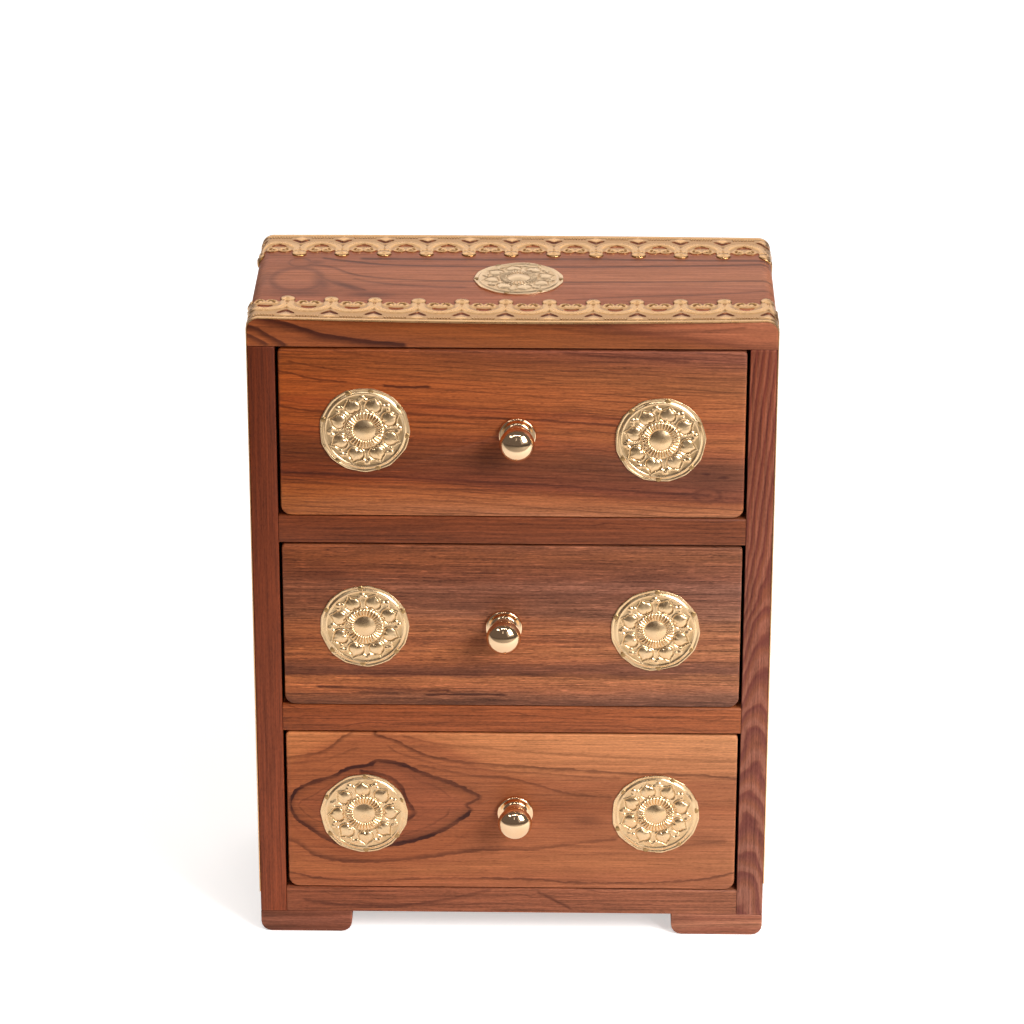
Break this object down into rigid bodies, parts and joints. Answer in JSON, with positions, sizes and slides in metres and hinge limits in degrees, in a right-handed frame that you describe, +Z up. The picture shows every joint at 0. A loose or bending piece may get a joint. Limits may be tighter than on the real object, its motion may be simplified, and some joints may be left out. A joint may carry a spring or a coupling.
{
  "type": "chest of drawers",
  "caption": "Small tabletop teak chest of drawers with flush drawers, ball knobs, embossed brass medallions and pierced brass edging over the top and down the sides, on block feet.",
  "frame": {"origin": "on the floor under the middle of the overall box, knobs included", "axes": "+X to the right seen from the front, +Y from the front to the back, +Z up; the drawers open towards -Y"},
  "size_m": [0.2014, 0.107, 0.2646],
  "materials": {
    "top_wood": "oiled, satin",
    "side_wood": "oiled, satin",
    "shelf_wood": "oiled, satin",
    "upper_front_wood": "oiled, satin",
    "middle_front_wood": "oiled, satin",
    "lower_front_wood": "oiled, satin",
    "box_wood": "planed, raw",
    "thin_board": "planed, raw",
    "polished_brass": "polished",
    "embossed_brass": "pressed sheet, lightly polished",
    "plated_steel": "zinc plated"
  },
  "bodies": {
    "carcass": {"top_board": "top_wood", "left_side": "side_wood", "right_side": "side_wood", "bottom_board": "shelf_wood", "lower_divider": "shelf_wood", "upper_divider": "shelf_wood", "back_panel": "thin_board", "front_left_foot": "shelf_wood", "front_right_foot": "shelf_wood", "rear_left_foot": "shelf_wood", "rear_right_foot": "shelf_wood", "front_edging": "embossed_brass", "rear_edging": "embossed_brass", "top_medallion": "embossed_brass"},
    "upper_drawer": {"upper_drawer_front": "upper_front_wood", "upper_drawer_left_side": "box_wood", "upper_drawer_right_side": "box_wood", "upper_drawer_back": "box_wood", "upper_drawer_bottom": "thin_board", "upper_knob": "polished_brass", "upper_knob_screw": "plated_steel", "upper_left_medallion": "embossed_brass", "upper_right_medallion": "embossed_brass"},
    "middle_drawer": {"middle_drawer_front": "middle_front_wood", "middle_drawer_left_side": "box_wood", "middle_drawer_right_side": "box_wood", "middle_drawer_back": "box_wood", "middle_drawer_bottom": "thin_board", "middle_knob": "polished_brass", "middle_knob_screw": "plated_steel", "middle_left_medallion": "embossed_brass", "middle_right_medallion": "embossed_brass"},
    "lower_drawer": {"lower_drawer_front": "lower_front_wood", "lower_drawer_left_side": "box_wood", "lower_drawer_right_side": "box_wood", "lower_drawer_back": "box_wood", "lower_drawer_bottom": "thin_board", "lower_knob": "polished_brass", "lower_knob_screw": "plated_steel", "lower_left_medallion": "embossed_brass", "lower_right_medallion": "embossed_brass"}
  },
  "joints": [
    {"name": "upper_drawer_slide", "type": "slide", "parent": "carcass", "child": "upper_drawer", "axis": [0, -1, 0], "range_m": [0, 0.062]},
    {"name": "middle_drawer_slide", "type": "slide", "parent": "carcass", "child": "middle_drawer", "axis": [0, -1, 0], "range_m": [0, 0.062]},
    {"name": "lower_drawer_slide", "type": "slide", "parent": "carcass", "child": "lower_drawer", "axis": [0, -1, 0], "range_m": [0, 0.062]}
  ]
}
